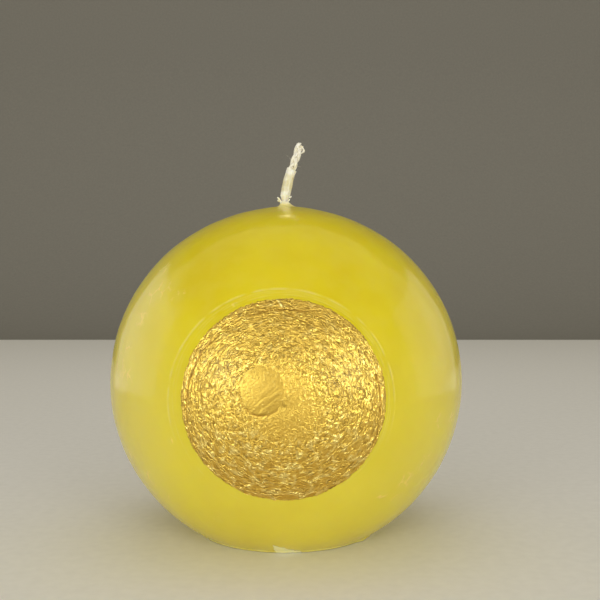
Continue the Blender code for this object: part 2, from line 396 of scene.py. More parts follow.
def gold_relief(u, v):
    """Height of the gold over the ball in mm, u degrees right and v up of the middle."""
    x, y = u * MM_PER_DEGREE, v * MM_PER_DEGREE
    warp = noise.noise_vector(Vector((x / 5, y / 5, 3.1)))
    fine_warp = noise.noise_vector(Vector((x / 1.7, y / 1.7, 8.3)))
    px, py = x + 0.9 * warp.x + 0.5 * fine_warp.x, y + 0.9 * warp.y + 0.5 * fine_warp.y
    r = math.hypot(px, py)
    turn = math.atan2(py, px)
    degrees = math.hypot(u, v)
    round_way = Vector((math.cos(turn), math.sin(turn), 0.0))

    # Short strokes that run round the disc, about a millimetre apart
    stroke = noise.noise(round_way * 9.0 + Vector((0.3, 0.7, r / 0.75)))
    short = noise.noise(round_way * 15.0 + Vector((5.3, 1.7, r / 0.5)))
    strokes = 0.046 * stroke + 0.040 * short

    # Thick worms of paint with flat places between them, where the brush lifted off
    worms = worm(round_way * 6.0 + Vector((3.3, 0.2, r / 1.75)), 0.30)
    worms *= ease(noise.noise(round_way * 9.0 + Vector((9.4, 4.4, r / 2.0))), -0.12, 0.06)
    more = worm(round_way * 7.5 + Vector((1.3, 8.2, r / 1.3)), 0.24)
    more *= ease(noise.noise(round_way * 11.0 + Vector((2.8, 6.1, r / 1.8))), 0.0, 0.15)
    worms = max(worms, 0.8 * more)

    grain = noise.noise(Vector((px / 0.8, py / 0.8, 0.6)))
    grain += 0.6 * noise.noise(Vector((px / 0.45, py / 0.45, 4.6)))

    outer = ease(degrees, 7, 14)
    low = ease(-v / max(degrees, 1), 0.1, 0.7) * outer
    calm = 1 - 0.6 * bump_at(math.hypot(u - 2.5, v + 6), 5)
    height = GOLD_LEVEL + 0.042 * grain * calm * (1 - 0.45 * outer)
    height += strokes * outer * (1 - 0.65 * low)
    height += 0.115 * worms * (0.2 + 0.8 * low) * ease(degrees, 6, 12)

    # The groove inside the rim, broken in places, and the band outside it
    away = math.hypot(u, v + 1.7) - 27.75 - 0.3 * warp.z
    angle = math.degrees(math.atan2(v + 1.7, u))
    left = bump_at((angle - 158 + 180) % 360 - 180, 36)
    right = bump_at(angle - 3, 33)
    top = bump_at(angle - 93, 20)
    strength = clamp(left + right + 0.8 * top) * ease(v, -24, -16)
    strength *= 0.55 + 0.45 * ease(noise.noise(round_way * 5), -0.3, 0.1)
    height -= 0.16 * strength * bump_at(away, 0.24)
    height += 0.02 * strength * bump_at(away - 0.6, 0.3)
    height -= 0.05 * ease(degrees, 29.0, 29.5)

    # A short straight scratch across the rim at the top
    along = clamp(((u + 2.0) * 1.7 - (v - 29.5) * 2.5) / 9.14)
    off = math.hypot(u + 2.0 - 1.7 * along, v - 29.5 + 2.5 * along)
    height += 0.20 * bump_at(off, 0.22)

    # The dab: smooth, with a crisp left edge and slanting strokes that fade into the disc
    across, up = u - DAB_LEFT, v - DAB_UP
    turn = math.atan2(up, across)
    share = math.hypot(across, up) / dab_edge(turn)
    if share < 1.4:
        facing = math.degrees(turn) % 360
        soft = max(bump_at(facing - 30, 85), bump_at(facing - 390, 85))
        inside = 1 - ease(share, 0.93 - 0.30 * soft, 1.0)
        slant = (x - y) / math.sqrt(2) + 0.5 * warp.x
        stroke = noise.noise(Vector((slant / 0.62, (x + y) / 4.5, 2.0)))
        lower = ease(across - up, -2.5, 4)
        dome = GOLD_LEVEL + 0.045 * (1 - min(share, 1.0) ** 2)
        dome += 0.065 * stroke * lower + 0.018 * grain
        height += (dome - height) * inside
        crease = bump_at(facing - 262, 60) + 0.6 * bump_at(facing - 180, 40)
        height -= 0.085 * clamp(crease) * bump_at(share - 1.03, 0.042)
    return height


def gold_outside(u, v):
    return BALL_RADIUS + gold_relief(u, v) * MM


def even_disc(a, b):
    """Takes a place on a square to a place on a disc: its turn, and its share of the radius."""
    if a == 0 and b == 0:
        return 0.0, 0.0
    if abs(a) > abs(b):
        share, turn = a, math.pi / 4 * b / a
    else:
        share, turn = b, math.pi / 2 - math.pi / 4 * a / b
    if share < 0:
        share, turn = -share, turn + math.pi
    return turn, share


def draw_in(piece, angle_at, radius):
    """Extrudes the selected edge loop and moves the new one to this angle and radius."""
    extrude()
    mesh = bmesh.from_edit_mesh(piece.data)
    for vertex in mesh.verts:
        if vertex.select:
            turn = ball_place(vertex.co)[1]
            vertex.co = on_ball(angle_at(turn), turn, radius)
    bmesh.update_edit_mesh(piece.data)


def make_gold():
    """The whole of the gold as one closed film, before the dab is parted from it."""
    deselect()
    bpy.ops.mesh.primitive_grid_add(x_subdivisions=GOLD_GRID, y_subdivisions=GOLD_GRID, size=2)
    gold = added("gold_film")
    for vertex in gold.data.vertices:
        turn, share = even_disc(vertex.co.x, vertex.co.y)
        angle = share * rim_angle(turn)
        u, v = math.degrees(angle) * math.cos(turn), math.degrees(angle) * math.sin(turn)
        vertex.co = on_ball(angle, turn, gold_outside(u, v))
    edit(gold)
    pick(gold, "edges", lambda e: e.is_boundary)
    draw_in(gold, rim_angle, BALL_RADIUS - 0.04 * MM)
    seat = SEAT_ANGLE - 0.05 * MM / BALL_RADIUS
    draw_in(gold, lambda turn: seat, BALL_RADIUS - 0.04 * MM)
    for i in range(BACK_RINGS):
        share = 1 - i / BACK_RINGS
        draw_in(gold, lambda turn: seat * share, GOLD_BACK)
    bpy.ops.mesh.merge(type="CENTER")
    leave()
    return gold


def dab_cutter(name, clearance):
    """A tapered plug in the shape of the dab, through the gold from side to side."""
    near, far = BALL_RADIUS - 3 * MM, BALL_RADIUS + 3 * MM
    deselect()
    bpy.ops.mesh.primitive_circle_add(vertices=180, radius=1, fill_type="NGON")
    plug = added(name)
    middle = Vector((DAB_LEFT, DAB_UP))
    for vertex in plug.data.vertices:
        turn = math.atan2(vertex.co.y, vertex.co.x)
        edge = dab_edge(turn) - clearance / MM / MM_PER_DEGREE
        u, v = middle.x + edge * math.cos(turn), middle.y + edge * math.sin(turn)
        angle = math.radians(math.hypot(u, v))
        vertex.co = on_ball(angle, math.atan2(v, u), near)
    edit(plug)
    bpy.ops.mesh.select_all(action="SELECT")
    extrude()
    scale = far / near
    bpy.ops.transform.resize(value=(scale, scale, scale), center_override=CENTRE)
    bpy.ops.mesh.select_all(action="SELECT")
    bpy.ops.mesh.normals_make_consistent(inside=False)
    leave()
    return plug


def part_dab(gold):
    """Parts the gold into the disc and the dab, which share their relief."""
    activate(gold)
    bpy.ops.object.duplicate()
    dab = bpy.context.object
    dab.name = dab.data.name = "gold_dab_film"
    gold.name = gold.data.name = "gold_disc_film"
    cut(gold, dab_cutter("disc_cutter", 0.0), "DIFFERENCE")
    cut(dab, dab_cutter("dab_cutter", 0.012 * MM), "INTERSECT")
    for piece in (gold, dab):
        close_up(piece, outwards=False)
        paint(piece, "height", lambda co: gold_relief(*flat_place(co)))
        smooth(piece, 55)
    return gold, dab


# ---- The wick ----

YARNS = 6
YARN_RADIUS = 0.215 * MM
YARN_SPREAD = 0.33 * MM
YARN_TWIST = 5 * MM
YARN_STEP = 0.45 * MM
TIP_LOW, TIP_HIGH = 0.45 * MM, 0.8 * MM


def wick_middle(height):
    """The wick's centreline: upright in the ball, then a curve towards +X."""
    over = height - BALL_TOP
    share = max(0.0, over - LEAN_START) / LEAN_SPAN
    lean = WICK_LEAN * share * share * (3 - 2 * share)
    kink = -0.5 * MM * ease(over, -3 * MM, 1.2 * MM) * (1 - ease(over, 1.8 * MM, 6 * MM))
    return Vector((lean + kink, 0.0, height))


def wick_side(height):
    step = 0.1 * MM
    along = wick_middle(height + step) - wick_middle(height - step)
    return Vector((along.z, 0.0, -along.x)).normalized()


def pinch(height):
    """How far the wick is pinched in at its neck, as a share of its width."""
    over = (height - BALL_TOP) / MM
    return 1 - 0.50 * ease(over, -3, 1.5) * (1 - ease(over, 2.2, 4.2))


def strand_middle(number, height):
    turn = 2 * math.pi * (height / PLAIT_PITCH + number / len(STRAND_NAMES))
    across = PLAIT_HALF_WIDTH * math.sin(turn) * pinch(height)
    deep = PLAIT_HALF_DEPTH * math.sin(2 * turn) * (0.4 + 0.6 * pinch(height))
    return wick_middle(height) + wick_side(height) * across + Vector((0.0, deep, 0.0))


def yarn_route(number, yarn, end):
    """Points and thicknesses along one yarn of one strand."""
    steps = int((end - WICK_LOW) / YARN_STEP)
    route = []
    for i in range(steps + 1):
        height = WICK_LOW + (end - WICK_LOW) * i / steps
        turn = 2 * math.pi * (height / YARN_TWIST + yarn / YARNS)
        spread = YARN_SPREAD * (0.55 + 0.45 * pinch(height))
        loose = ease(height, WICK_TOP - 3 * MM, WICK_TOP)
        spread *= 1 + 0.15 * loose
        side = wick_side(height)
        centre = strand_middle(number, height)
        offset = side * math.cos(turn) + Vector((0.0, math.sin(turn), 0.0))
        place = centre + offset * spread
        size = (0.6 + 0.4 * pinch(height)) * (1 + 0.12 * noise.noise(
            Vector((number * 3.1, yarn * 5.3, height / MM / 1.2))))
        if i == steps:
            size *= 0.55
        route.append((place, size))
    return route


def fibre_route(number, i):
    """Points and thicknesses of one loose fibre that stands off a strand."""
    seed = Vector((number * 7.7 + 0.5, i * 3.3 + 0.5, 1.5))
    pull = noise.noise_vector(seed * 1.37)
    start = BALL_TOP + (10.5 + 7.6 * noise.cell(seed)) * MM
    root = strand_middle(number, min(start, WICK_TOP - 0.6 * MM))
    away = Vector((pull.x * 1.4, pull.y * 1.4, 0.25 + 0.5 * pull.z))
    away.normalize()
    length = (0.9 + 1.5 * noise.cell(seed + Vector((5, 5, 5)))) * MM
    route = []
    for step in range(6):
        share = step / 5
        curl = noise.noise_vector(seed + Vector((0, 0, share * 1.3))) * 0.45 * MM * share
        place = root + away * length * share + curl
        place.z = min(place.z, WICK_TOP)
        route.append((place, 0.13 * (1 - 0.5 * share)))
    return route


def tuft_route(i):
    """One of the yarn ends that bend out to the right under the wick's tip."""
    start = wick_middle(BALL_TOP + 15.6 * MM) + wick_side(BALL_TOP + 15.6 * MM) * 0.55 * MM
    spread = 0.28 * MM * math.sin(2.4 * i)
    route = []
    for step in range(8):
        share = step / 7
        out = 1.35 * MM * math.sin(share * 1.9) + spread * share
        up = (0.55 + 0.27 * i) * MM * share + 0.2 * MM * math.sin(share * 3 + i)
        deep = 0.25 * MM * math.cos(1.7 * i) * share
        route.append((start + Vector((out, deep, up)), 0.85 * (1 - 0.35 * share)))
    return route


def add_tubes(name, routes, radius, sides):
    """Round tubes along these routes, made a mesh: one spline for each route."""
    deselect()
    bpy.ops.curve.primitive_nurbs_path_add()
    tube = bpy.context.object
    tube.name = tube.data.name = name
    curve = tube.data
    curve.splines.clear()
    curve.bevel_depth = radius
    curve.bevel_resolution = sides
    curve.use_fill_caps = True
    for route in routes:
        spline = curve.splines.new("POLY")
        spline.points.add(len(route) - 1)
        for point, (place, size) in zip(spline.points, route):
            point.co = (*place, 1.0)
            point.radius = size
    activate(tube)
    bpy.ops.object.convert(target="MESH")
    return added(name)


def make_strand(number):
    routes = []
    for yarn in range(YARNS):
        uneven = noise.cell(Vector((number + 0.5, yarn + 0.5, 4.5)))
        slant = 0.5 * MM * ease(strand_middle(number, WICK_TOP - MM).x, 3.2 * MM, 4.8 * MM)
        end = WICK_TOP - TIP_LOW - (TIP_HIGH - TIP_LOW) * uneven - slant
        routes.append(yarn_route(number, yarn, end))
    routes += [fibre_route(number, i) for i in range(14)]
    if number == 0:
        routes += [tuft_route(i) for i in range(5)]
    strand = add_tubes(f"cotton_strand_{number + 1}", routes, YARN_RADIUS, 1)
    close_up(strand)
    paint(strand, "waxed", lambda co: waxed(co.z))
    smooth(strand, 70)
    return strand


def waxed(height):
    """How much priming wax is left in the cotton at this height."""
    return 1 - ease((height - BALL_TOP) / MM, 9.5, 14)


# Height over the ball and outside radius of the priming wax, in mm
SLEEVE = [(1.9, 0.80), (2.3, 0.90), (2.7, 1.08), (3.1, 1.28), (3.6, 1.42), (4.3, 1.47),
          (5.2, 1.48), (6.1, 1.50), (7.0, 1.50), (7.9, 1.50), (8.8, 1.49), (9.6, 1.48),
          (10.2, 1.50), (10.7, 1.52), (11.0, 1.54)]


def make_sleeve():
    """The priming wax left round the lower part of the wick, broken off higher at the left."""
    deselect()
    first_height, first_radius = SLEEVE[0]
    bpy.ops.mesh.primitive_circle_add(
        vertices=56, radius=first_radius * MM,
        location=wick_middle(BALL_TOP + first_height * MM))
    sleeve = added("priming_wax_sleeve")
    edit(sleeve)
    pick(sleeve, "edges", lambda e: True)
    for (height, radius), (next_height, next_radius) in zip(SLEEVE, SLEEVE[1:]):
        middle = wick_middle(BALL_TOP + height * MM)
        next_middle = wick_middle(BALL_TOP + next_height * MM)
        extrude(next_middle - middle)
        scale = next_radius / radius
        bpy.ops.transform.resize(value=(scale, scale, 1), center_override=next_middle)
    leave()
    apply_modifier(sleeve, "SUBSURF", levels=1, render_levels=1)
    top = BALL_TOP + SLEEVE[-1][0] * MM
    for vertex in sleeve.data.vertices:
        middle = wick_middle(vertex.co.z)
        place = vertex.co - middle
        turn = math.atan2(place.y, place.x)
        over = (vertex.co.z - BALL_TOP) / MM
        lumpy = 0.07 * noise.noise(Vector((math.cos(turn), math.sin(turn), over / 1.6)) * 1.1)
        lumpy += 0.03 * noise.noise(Vector((math.cos(turn) * 3, math.sin(turn) * 3, over / 0.6)))
        vertex.co.xy += place.xy * lumpy
        near_top = ease(vertex.co.z, top - 2.2 * MM, top)
        step = -0.62 * math.cos(turn) + 0.22 * noise.noise(
            Vector((math.cos(turn) * 2.2, math.sin(turn) * 2.2, 0.5)))
        rise = wick_middle(vertex.co.z + step * MM * near_top) - wick_middle(vertex.co.z)
        vertex.co += rise
    close_up(sleeve)
    apply_modifier(sleeve, "SOLIDIFY", thickness=0.5 * MM, offset=-1.0)
    smooth(sleeve, 50)
    return sleeve


# Distance from the ball's top and radius of the bead, in mm, from the crown to the stem
BEAD = [(1.95, 0.78), (1.9, 1.0), (1.55, 1.28), (1.1, 1.6), (0.7, 2.0), (0.42, 2.5),
        (0.30, 3.0), (0.12, 3.2), (0.0, 2.9), (-0.3, 2.3), (-2.0, 2.15), (-2.1, 1.6)]


def make_bead():
    """The wax bead at the wick's foot, with two flakes of wax that broke off the sleeve."""
    shift = wick_middle(BALL_TOP + 1.6 * MM).x
    deselect()
    height, radius = BEAD[0]
    bpy.ops.mesh.primitive_circle_add(
        vertices=64, radius=radius * MM, location=(0, 0, BALL_TOP + height * MM))
    bead = added("wick_wax_bead")
    edit(bead)
    pick(bead, "edges", lambda e: True)
    for next_height, next_radius in BEAD[1:]:
        extrude((0, 0, (next_height - height) * MM))
        scale = next_radius / radius
        bpy.ops.transform.resize(value=(scale, scale, 1), center_override=(0, 0, BALL_TOP))
        height, radius = next_height, next_radius
    pick(bead, "edges", lambda e: e.is_boundary)
    bpy.ops.mesh.bridge_edge_loops()
    leave()
    close_up(bead)
    flakes = [((-1.55, -0.3, 2.38), (1.12, 0.50, 0.30), 38), ((-1.60, 0.1, 2.0), (0.7, 0.5, 0.3), 12),
              ((1.68, -0.3, 3.05), (0.55, 0.35, 0.22), -40), ((1.2, 0.3, 2.2), (0.5, 0.4, 0.3), -55)]
    parts = [bead]
    for place, size, tilt in flakes:
        deselect()
        bpy.ops.mesh.primitive_ico_sphere_add(
            subdivisions=4, radius=MM, location=Vector(place) * MM + Vector((0, 0, BALL_TOP)),
            scale=size, rotation=(0.3, math.radians(tilt), 0.4))
        parts.append(added("flake"))
    deselect()
    for part in parts:
        part.select_set(True)
    bpy.context.view_layer.objects.active = bead
    bpy.ops.object.join()
    apply_modifier(bead, "REMESH", mode="VOXEL", voxel_size=0.12 * MM)
    for vertex in bead.data.vertices:
        over = (vertex.co.z - BALL_TOP) / MM
        if over < 0.02:
            continue
        place = vertex.co / MM
        lump = noise.noise_vector(place / 1.3) * 0.22 + noise.noise_vector(place / 0.5) * 0.10
        lump.z *= 0.6
        vertex.co += lump * MM * ease(over, 0.0, 0.6)
        vertex.co.x += shift * ease(over, 0.1, 1.6)
    apply_modifier(bead, "SMOOTH", factor=0.5, iterations=3)
    smooth(bead, 80)
    return bead


# ---- Materials ----

def colour(hex_code):
    """An sRGB hex colour as linear red, green, blue and alpha."""
    linear = []
    for i in (1, 3, 5):
        value = int(hex_code[i:i + 2], 16) / 255
        linear.append(value / 12.92 if value <= 0.04045 else ((value + 0.055) / 1.055) ** 2.4)
    return (*linear, 1.0)


def add(tree, kind, inputs, output=0, **settings):
    """Adds a node with its settings, links or fills its inputs, and returns one output."""
    node = tree.nodes.new("ShaderNode" + kind)
    for name, value in settings.items():
        setattr(node, name, value)
    for name, value in (inputs if isinstance(inputs, dict) else dict(enumerate(inputs))).items():
        if isinstance(value, bpy.types.NodeSocket):
            tree.links.new(value, node.inputs[name])
        else:
            node.inputs[name].default_value = value
    return node.outputs[output]


def new_material(name, shader_inputs):
    """A material, its node tree, its Principled shader, and the place on the object."""
    material = bpy.data.materials.new(name)
    material.use_nodes = True
    tree = material.node_tree
    shader = tree.nodes["Principled BSDF"]
    for key, value in shader_inputs.items():
        shader.inputs[key].default_value = value
    return material, tree, shader, add(tree, "TexCoord", {}, "Object")


def patches(tree, where, size, detail, low=0.0, high=1.0, to_low=0.0, to_high=1.0):
    """Soft patches this many mm across, with low to high stretched to to_low to to_high."""
    pattern = add(tree, "TexNoise", {
        "Vector": where, "Scale": 1 / (size * MM), "Detail": detail, "Roughness": 0.5})
    return add(tree, "MapRange", (pattern, low, high, to_low, to_high))


def fill_shader(tree, shader, tone, layers, dull, heights):
    """Lays colours over the first tone by share and strength, links the roughness, and lays
    the heights, in mm, over one another as bumps."""
    for share, strength, code in layers:
        share = add(tree, "Math", (share, strength), operation="MULTIPLY")
        tone = add(tree, "Mix", {0: share, 6: tone, 7: colour(code)}, 2, data_type="RGBA")
    tree.links.new(tone, shader.inputs["Base Color"])
    tree.links.new(dull, shader.inputs["Roughness"])
    for height, distance in heights:
        inputs = {"Height": height, "Distance": distance * MM}
        if shader.inputs["Normal"].is_linked:
            inputs["Normal"] = shader.inputs["Normal"].links[0].from_socket
        tree.links.new(add(tree, "Bump", inputs), shader.inputs["Normal"])


def frost_cracks(tree, where, frost):
    """Pale cracks inside the patches of frost: the broken edges of warped cells."""
    warp = add(tree, "TexNoise", {"Vector": where, "Scale": 1 / (2.5 * MM), "Detail": 3.0},
               "Color")
    warp = add(tree, "VectorMath", (warp, (2.4 * MM,) * 3), operation="MULTIPLY")
    moved = add(tree, "VectorMath", (where, warp), operation="ADD")
    edge = add(tree, "TexVoronoi", {"Vector": moved, "Scale": 1 / (4.6 * MM)},
               feature="DISTANCE_TO_EDGE")
    line = add(tree, "MapRange", (edge, 0.0, 0.085, 1.0, 0.0))
    line = add(tree, "Math", (line, patches(tree, where, 1.8, 3.0, 0.40, 0.50)),
               operation="MULTIPLY")
    return add(tree, "Math", (line, frost), operation="MULTIPLY")


def base_chip(tree, where):
    """A wedge of bare wax chipped out of the base's front edge: tall at its left end."""
    x = add(tree, "SeparateXYZ", (where,))
    y, z = x.node.outputs["Y"], x.node.outputs["Z"]
    ragged = patches(tree, where, 1.1, 3.0, 0.0, 1.0, -0.8 * MM, 0.8 * MM)
    level = add(tree, "Math", (x, 0.42, z), operation="MULTIPLY_ADD")
    level = add(tree, "Math", (level, ragged), operation="ADD")
    under = add(tree, "MapRange", (level, 2.3 * MM, 2.55 * MM, 1.0, 0.0))
    along = add(tree, "Math", (z, 0.2, x), operation="MULTIPLY_ADD")
    along = add(tree, "Math", (ragged, 0.6, along), operation="MULTIPLY_ADD")
    right = add(tree, "MapRange", (along, -2.5 * MM, -2.3 * MM))
    front = add(tree, "MapRange", (y, -20 * MM, -10 * MM, 1.0, 0.0))
    chip = add(tree, "Math", (under, right), operation="MULTIPLY")
    return add(tree, "Math", (chip, front), operation="MULTIPLY")


def dyed_paraffin():
    """Paraffin wax overdipped in a bright yellow dye coat: glossy, a little see-through, with
    soft waves from the dips, cloudy patches, and pale frost cracks where it was knocked."""
    material, tree, shader, where = new_material("dyed_overdipped_paraffin", {
        "IOR": 1.44, "Subsurface Weight": 0.35, "Subsurface Radius": (1.0, 0.72, 0.12),
        "Subsurface Scale": 2.2 * MM,
    })
    frost = add(tree, "Attribute", {}, "Fac", attribute_name="frost")
    scored = add(tree, "Attribute", {}, "Fac", attribute_name="scored")
    vein = frost_cracks(tree, where, frost)
    chip = base_chip(tree, where)
    x = add(tree, "SeparateXYZ", (where,))
    rise = x.node.outputs["Z"]
    pale = add(tree, "MapRange", (rise, 60 * MM, 22 * MM))
    under = add(tree, "MapRange", (rise, 90 * MM, 76 * MM))
    # Painted reflections of the side lights: the wax is made paler towards the left and right sides,
    # below the top, more at the left.
    left = add(tree, "Math", (add(tree, "MapRange", (x, -24 * MM, -36 * MM)), under),
               operation="MULTIPLY")
    right = add(tree, "Math", (add(tree, "MapRange", (x, 26 * MM, 38 * MM)), under),
                operation="MULTIPLY")
    crown = add(tree, "VectorMath", (where, (0.0, 0.0, BALL_TOP)), "Value",
                operation="DISTANCE")
    crown = add(tree, "MapRange", (crown, 9 * MM, 20 * MM, 1.0, 0.0))
    # A pale line painted along the base's rounded edge: a painted highlight where the edge lies in
    # shade.
    ragged = patches(tree, where, 3.0, 3.0, 0.0, 1.0, -0.6 * MM, 0.6 * MM)
    foot = add(tree, "Math", (rise, ragged), operation="ADD")
    painted_edge_highlight = add(tree, "MapRange", (foot, 0.6 * MM, 1.1 * MM, 1.0, 0.0))
    dull = patches(tree, where, 9.0, 4.0, 0.3, 0.7, 0.11, 0.17)
    dull = add(tree, "Math", (vein, 0.08, dull), operation="MULTIPLY_ADD")
    dull = add(tree, "Math", (crown, 0.05, dull), operation="MULTIPLY_ADD")
    fill_shader(tree, shader, colour("#dcc708"), [
        (patches(tree, where, 22.0, 3.0, 0.35, 0.65), 1.0, "#e5d31a"),
        (patches(tree, where, 5.0, 4.0, 0.4, 0.75), 0.35, "#e2cf40"),
        # Paler towards the bottom; paler at the left and right sides as painted reflections of the
        # side lights.
        (pale, 0.36, "#e8dc62"), (left, 0.25, "#ece08c"), (right, 0.14, "#ece08c"),
        (frost, 0.10, "#e4d67a"), (vein, 1.0, "#fbe070"), (scored, 0.6, "#e9dc7c"),
        # The chip shows the bare core wax, painted brighter than the core's own wax as painted light
        # against the shade near the floor.
        # The pale line at the base's edge is a painted highlight.
        (painted_edge_highlight, 0.85, "#efe27c"), (chip, 1.0, "#fff6b4"),
    ], dull, [
        (patches(tree, where, 4.0, 2.0), 0.05), (patches(tree, where, 0.6, 3.0), 0.010),
        (vein, 0.04), (chip, -0.25),
    ])
    return material


def round_the_disc(tree, where):
    """Direction round the disc, as a flat vector of length 1, and the distance from its
    middle, in mm over the ball."""
    ball = add(tree, "VectorMath", (where, tuple(CENTRE)), operation="SUBTRACT")
    ball = add(tree, "VectorMath", (ball, (1.0, 1.0, 1 / SQUASH)), operation="MULTIPLY")
    flat = add(tree, "VectorMath", (ball, (1.0, 0.0, 1.0)), operation="MULTIPLY")
    out = add(tree, "VectorMath", (flat,), "Value", operation="LENGTH")
    depth = add(tree, "Math", (add(tree, "SeparateXYZ", (ball,), "Y"), -1.0),
                operation="MULTIPLY")
    angle = add(tree, "Math", (out, depth), operation="ARCTAN2")
    distance = add(tree, "Math", (angle, BALL_RADIUS / MM), operation="MULTIPLY")
    return add(tree, "VectorMath", (flat,), operation="NORMALIZE"), distance


def strokes_round(tree, disc, along, across, shift):
    """A noise drawn out round the disc: along is how many strokes fill a radian, and across
    is the width of one in mm."""
    direction, distance = disc
    out = add(tree, "Math", (distance, 1 / across), operation="MULTIPLY")
    out = add(tree, "CombineXYZ", {"X": shift, "Y": out})
    place = add(tree, "VectorMath", {0: direction, 3: along}, operation="SCALE")
    place = add(tree, "VectorMath", (place, out), operation="ADD")
    return add(tree, "TexNoise", {"Vector": place, "Scale": 1.0, "Detail": 1.0})


def bronze_paint(name, stroke_height, grain_height, rough_low, rough_high, main, painted_highlight_tone):
    """Gold paint of bronze powder in a clear binder, stippled on thick: a satin metal lustre,
    duller in the hollows, with short brush strokes and a fine grain of powder. Its colour is
    darker in the hollows and between the strokes as painted shade, and palest on the highest
    ridges as a painted highlight."""
    material, tree, shader, where = new_material(name, {
        "Metallic": 0.95, "Coat Weight": 0.1, "Coat Roughness": 0.30})
    height = add(tree, "Attribute", {}, "Fac", attribute_name="height")
    raised = add(tree, "MapRange", (height, -0.06, 0.06))
    high = add(tree, "MapRange", (height, 0.07, 0.17))

    warp = add(tree, "TexNoise", {"Vector": where, "Scale": 1 / (1.3 * MM), "Detail": 2.0},
               "Color")
    warp = add(tree, "VectorMath", (warp, (0.5, 0.5, 0.5)), operation="SUBTRACT")
    warp = add(tree, "VectorMath", {0: warp, 3: 1.2 * MM}, operation="SCALE")
    moved = add(tree, "VectorMath", (where, warp), operation="ADD")
    disc = round_the_disc(tree, moved)
    stroke = strokes_round(tree, disc, 15.0, 0.42, 3.3)
    ridge = add(tree, "Math", (strokes_round(tree, disc, 12.0, 0.85, 7.9), 0.5),
                operation="SUBTRACT")
    ridge = add(tree, "Math", (ridge,), operation="ABSOLUTE")
    ridge = add(tree, "MapRange", (ridge, 0.0, 0.07, 1.0, 0.0))
    broken = add(tree, "MapRange", (strokes_round(tree, disc, 9.0, 1.5, 1.1), 0.42, 0.58))
    ridge = add(tree, "Math", (ridge, broken), operation="MULTIPLY")
    outer = add(tree, "MapRange", (disc[1], 6.0, 12.0, 0.3, 1.0))
    relief = add(tree, "Math", (ridge, 0.5, stroke), operation="MULTIPLY_ADD")
    relief = add(tree, "Math", (relief, outer), operation="MULTIPLY")
    # Painted shade: the grooves between the strokes are coloured darker.
    dark = add(tree, "MapRange", (stroke, 0.43, 0.31))
    dark = add(tree, "Math", (dark, outer), operation="MULTIPLY")

    dull = patches(tree, where, 1.4, 4.0, 0.3, 0.7, rough_low, rough_high)
    hollow = add(tree, "Math", (1.0, raised), operation="SUBTRACT")
    dull = add(tree, "Math", (hollow, 0.12, dull), operation="MULTIPLY_ADD")
    # The darker hollow tone is painted shade; the palest tone on the highest ridges is a painted
    # highlight.
    fill_shader(tree, shader, colour("#a87828"), [
        (raised, 1.0, main), (high, 0.9, painted_highlight_tone), (dark, 0.75, "#936f26"),
        (patches(tree, where, 6.0, 4.0, 0.38, 0.68), 0.3, "#d8ab44"),
        (patches(tree, where, 0.45, 2.0, 0.6, 0.75), 0.3, "#f6e692"),
    ], dull, [
        (relief, stroke_height), (patches(tree, where, 0.45, 3.0), grain_height),
        (patches(tree, where, 0.22, 2.0), grain_height * 0.3),
    ])
    return material


def pale_paraffin():
    """Undyed paraffin as cast: a pale cream wax, cloudy, satin, with soft ripples and a few
    tiny bubbles."""
    material, tree, shader, where = new_material("cast_paraffin", {
        "IOR": 1.44, "Subsurface Weight": 0.35, "Subsurface Radius": (1.0, 0.85, 0.5),
        "Subsurface Scale": 2.5 * MM,
    })
    bubble = add(tree, "TexVoronoi", {"Vector": where, "Scale": 1 / (2.4 * MM)})
    bubble = add(tree, "MapRange", (bubble, 0.05, 0.16, 1.0, 0.0))
    fill_shader(tree, shader, colour("#e9dca4"), [
        (patches(tree, where, 9.0, 4.0, 0.35, 0.65), 1.0, "#f2e8bf"),
        (bubble, 0.4, "#cfc084"),
    ], patches(tree, where, 4.0, 3.0, 0.3, 0.7, 0.35, 0.52), [
        (patches(tree, where, 3.5, 4.0), 0.12), (bubble, -0.12),
    ])
    return material


def priming_wax():
    """Priming wax drawn over the wick: cream and glossy, see-through enough to grey where it
    is thin, and tinted by the dye coat at its foot."""
    material, tree, shader, where = new_material("wick_priming_wax", {
        "IOR": 1.44, "Subsurface Weight": 0.5, "Subsurface Radius": (1.0, 0.85, 0.55),
        "Subsurface Scale": 1.0 * MM,
    })
    cloudy = add(tree, "Attribute", {}, "Fac", attribute_name="cloudy")
    dyed = add(tree, "Attribute", {}, "Fac", attribute_name="dyed")
    thin = add(tree, "Math", (cloudy, patches(tree, where, 2.2, 2.0, 0.3, 0.55)),
               operation="MULTIPLY")
    fill_shader(tree, shader, colour("#f8efd2"), [
        (patches(tree, where, 1.6, 3.0, 0.35, 0.65), 1.0, "#fdf8e6"),
        (thin, 1.0, "#e3d9b0"), (dyed, 1.0, "#f2e38c"),
    ], patches(tree, where, 0.9, 3.0, 0.3, 0.7, 0.28, 0.45), [
        (patches(tree, where, 0.7, 3.0), 0.05),
    ])
    return material


def wick_cotton():
    """Bleached cotton yarn, plaited: matt and cream, with fine fibres along it, and a little
    darker and smoother where it is still soaked in wax."""
    material, tree, shader, where = new_material("plaited_cotton", {
        "IOR": 1.5, "Sheen Weight": 0.25, "Sheen Roughness": 0.5, "Subsurface Weight": 0.2,
        "Subsurface Radius": (1.0, 0.9, 0.7), "Subsurface Scale": 0.3 * MM,
    })
    soaked = add(tree, "Attribute", {}, "Fac", attribute_name="waxed")
    along = add(tree, "Mapping", {"Vector": where, "Scale": (1.0, 1.0, 0.3)})
    fill_shader(tree, shader, colour("#f8f1da"), [
        (patches(tree, where, 0.3, 3.0, 0.35, 0.65), 1.0, "#fffbee"),
        (soaked, 0.6, "#efe5bd"),
    ], add(tree, "MapRange", (soaked, 0.0, 1.0, 0.85, 0.5)), [
        (patches(tree, along, 0.09, 2.0), 0.03),
    ])
    return material


